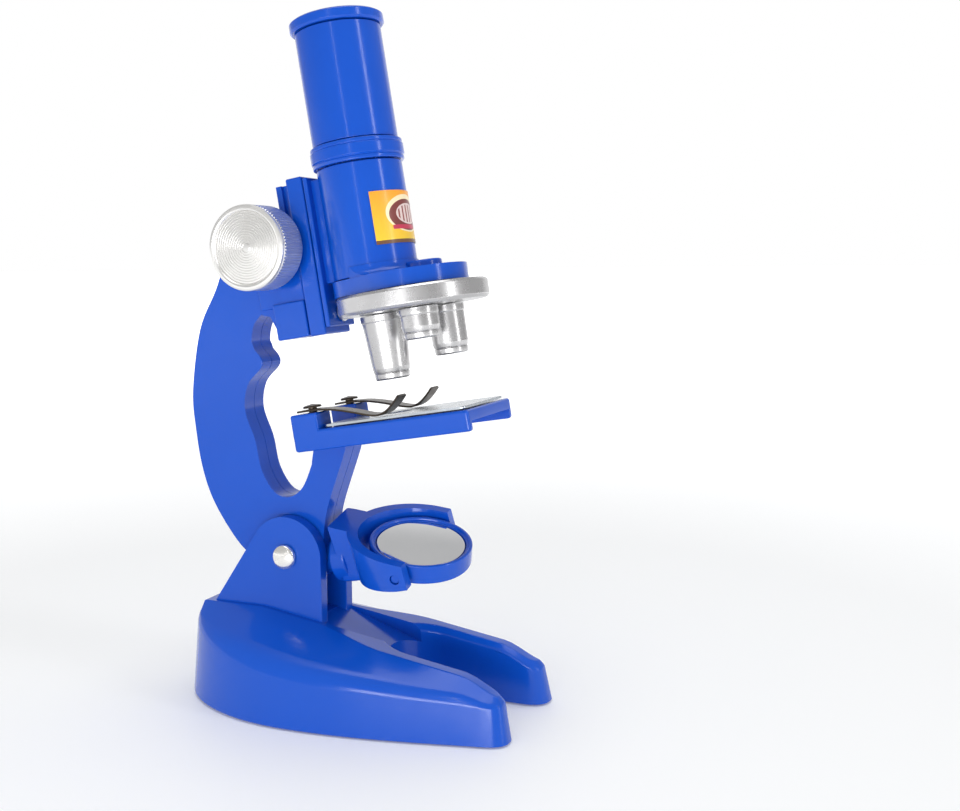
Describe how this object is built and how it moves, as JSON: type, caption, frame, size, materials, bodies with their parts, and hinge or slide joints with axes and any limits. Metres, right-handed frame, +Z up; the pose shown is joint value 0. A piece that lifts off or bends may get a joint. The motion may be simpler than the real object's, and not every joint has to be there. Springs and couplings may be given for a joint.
{
  "type": "toy microscope",
  "caption": "Children's compound microscope on a horseshoe base: tilting arm, rack focus, draw tube, objective turret, clipped stage and swivel mirror.",
  "frame": {"origin": "on the table under the middle of the base's bounding box", "axes": "+Z up, -Y towards the open end of the horseshoe and the stage, X across the microscope along the knob shaft"},
  "size_m": [0.0558, 0.0984, 0.1798],
  "materials": {
    "blue_plastic": "glossy injection-moulded ABS",
    "silver_plastic": "satin silver metallised plastic",
    "steel": "zinc-plated steel",
    "dark_steel": "blackened spring steel",
    "bolt_nickel": "bright nickel plate",
    "white_nylon": "natural nylon",
    "lens_glass": "polished",
    "mirror_glass": "silvered glass",
    "label": "printed vinyl"
  },
  "bodies": {
    "base": {"base_shell": "blue_plastic", "base_cover": "blue_plastic", "base_screw_rear": "steel", "base_screw_left": "steel", "base_screw_right": "steel", "tilt_bolt": "bolt_nickel", "tilt_nut": "steel", "tilt_washer_left": "steel", "tilt_washer_right": "steel"},
    "arm": {"arm_half_left": "blue_plastic", "arm_half_right": "blue_plastic", "arm_screw_lower": "steel", "arm_screw_middle": "steel", "arm_screw_upper": "steel", "stage_plate": "blue_plastic", "stage_sheet": "steel", "stage_screw": "steel", "clip_rivet_left": "dark_steel", "clip_rivet_right": "dark_steel", "pinion_bush_left": "white_nylon", "pinion_bush_right": "white_nylon"},
    "clip_left": {"clip_left": "dark_steel"},
    "clip_right": {"clip_right": "dark_steel"},
    "fork": {"mirror_fork": "blue_plastic"},
    "mirror": {"mirror_dish": "blue_plastic", "mirror_glass": "mirror_glass"},
    "knobs": {"focus_pinion": "steel", "knob_left": "silver_plastic", "knob_right": "silver_plastic"},
    "tube": {"slide_bar": "blue_plastic", "focus_rack": "white_nylon", "body_tube": "blue_plastic", "carrier_screw": "steel", "tube_collar": "blue_plastic", "tube_label": "label", "turret_housing": "blue_plastic", "detent_ball": "steel", "detent_spring": "steel", "turret_screw": "steel"},
    "draw_tube": {"draw_tube": "blue_plastic", "eyepiece_cap": "blue_plastic", "eye_lens": "lens_glass", "lens_ring": "dark_steel", "field_lens": "lens_glass"},
    "turret": {"turret_disc": "silver_plastic", "objective_long": "silver_plastic", "objective_long_lens": "lens_glass", "objective_short": "silver_plastic", "objective_short_lens": "lens_glass", "objective_middle": "silver_plastic", "objective_middle_lens": "lens_glass"}
  },
  "joints": [
    {"name": "arm_tilt", "type": "hinge", "parent": "base", "child": "arm", "pos_m": [0, 0.017, 0.0394], "axis": [-1, 0, 0], "range_deg": [-9.2, 35]},
    {"name": "knob_spin", "type": "hinge", "parent": "arm", "child": "knobs", "pos_m": [0, 0.0198, 0.1205], "axis": [-1, 0, 0], "range_deg": [-45, 215]},
    {"name": "focus_slide", "type": "slide", "parent": "arm", "child": "tube", "axis": [0, 0.1599, 0.9871], "range_m": [-0.0025, 0.012]},
    {"name": "draw_slide", "type": "slide", "parent": "tube", "child": "draw_tube", "axis": [0, 0.1599, 0.9871], "range_m": [0, 0.012]},
    {"name": "turret_spin", "type": "hinge", "parent": "tube", "child": "turret", "pos_m": [0, -0.01783, 0.10582], "axis": [0, 0.1599, 0.9871], "continuous": true},
    {"name": "fork_swivel", "type": "hinge", "parent": "arm", "child": "fork", "pos_m": [0, 0.00474, 0.03875], "axis": [0, 0.9871, -0.1599], "range_deg": [-22, 47]},
    {"name": "mirror_tilt", "type": "hinge", "parent": "fork", "child": "mirror", "pos_m": [0, -0.01866, 0.04254], "axis": [0.9724, 0.0373, 0.2304], "range_deg": [-95, 50]},
    {"name": "clip_left_swivel", "type": "hinge", "parent": "arm", "child": "clip_left", "pos_m": [-0.0098, 0.00673, 0.07855], "axis": [0, 0.1599, 0.9871], "range_deg": [-30, 10]},
    {"name": "clip_right_swivel", "type": "hinge", "parent": "arm", "child": "clip_right", "pos_m": [0.0098, 0.00673, 0.07855], "axis": [0, 0.1599, 0.9871], "range_deg": [-10, 30]}
  ],
  "couplings": [
    {"joint": "knob_spin", "follows": "focus_slide", "rad_per_m": 312.5}
  ]
}
